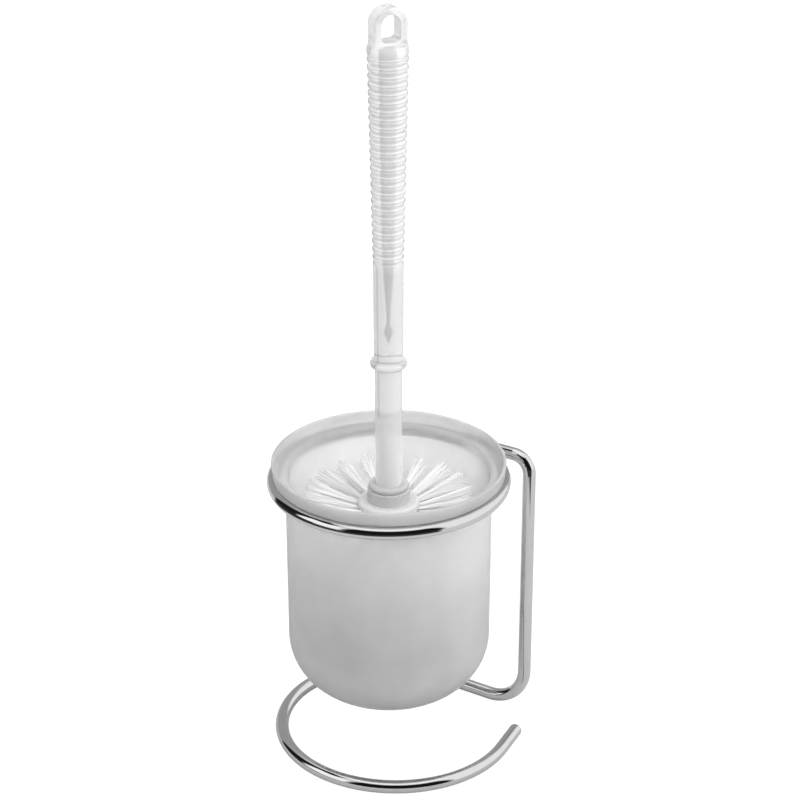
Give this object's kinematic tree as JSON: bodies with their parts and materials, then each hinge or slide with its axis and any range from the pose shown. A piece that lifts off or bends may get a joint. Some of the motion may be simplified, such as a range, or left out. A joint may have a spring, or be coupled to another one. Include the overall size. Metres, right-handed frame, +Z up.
{
  "type": "toilet brush set",
  "caption": "Toilet brush with a clear ribbed handle, standing in a frosted cup that hangs by its collar in a bent chrome wire stand.",
  "frame": {"origin": "centre of the stand's floor loop, on the floor", "axes": "+Z up, +X towards the side of the loop where the post stands, -Y towards the front"},
  "size_m": [0.1296, 0.1197, 0.3743],
  "materials": {
    "chrome_wire": "bright chrome plate on bent round steel wire",
    "frosted_plastic": "frosted translucent plastic, satin",
    "clear_plastic": "clear glossy plastic",
    "core_plastic": "smooth translucent white plastic",
    "bristle_fibre": "straight clear-white nylon bristles",
    "anchor_steel": "cut steel strip"
  },
  "bodies": {
    "stand": {"wire_stand": "chrome_wire"},
    "cup": {"cup": "frosted_plastic"},
    "brush": {"anchor_row_01": "anchor_steel", "anchor_row_02": "anchor_steel", "anchor_row_03": "anchor_steel", "anchor_row_04": "anchor_steel", "anchor_row_05": "anchor_steel", "anchor_row_06": "anchor_steel", "anchor_row_07": "anchor_steel", "anchor_row_08": "anchor_steel", "anchor_row_09": "anchor_steel", "anchor_row_10": "anchor_steel", "anchor_row_11": "anchor_steel", "bristle_row_01": "bristle_fibre", "bristle_row_02": "bristle_fibre", "bristle_row_03": "bristle_fibre", "bristle_row_04": "bristle_fibre", "bristle_row_05": "bristle_fibre", "bristle_row_06": "bristle_fibre", "bristle_row_07": "bristle_fibre", "bristle_row_08": "bristle_fibre", "bristle_row_09": "bristle_fibre", "bristle_row_10": "bristle_fibre", "bristle_row_11": "bristle_fibre", "brush_core": "core_plastic", "handle": "clear_plastic"}
  },
  "joints": [
    {"name": "cup_lift", "type": "slide", "parent": "stand", "child": "cup", "axis": [0, 0, 1], "range_m": [0, 0.125]},
    {"name": "brush_lift", "type": "slide", "parent": "cup", "child": "brush", "axis": [0, 0, 1], "range_m": [0, 0.13]}
  ]
}
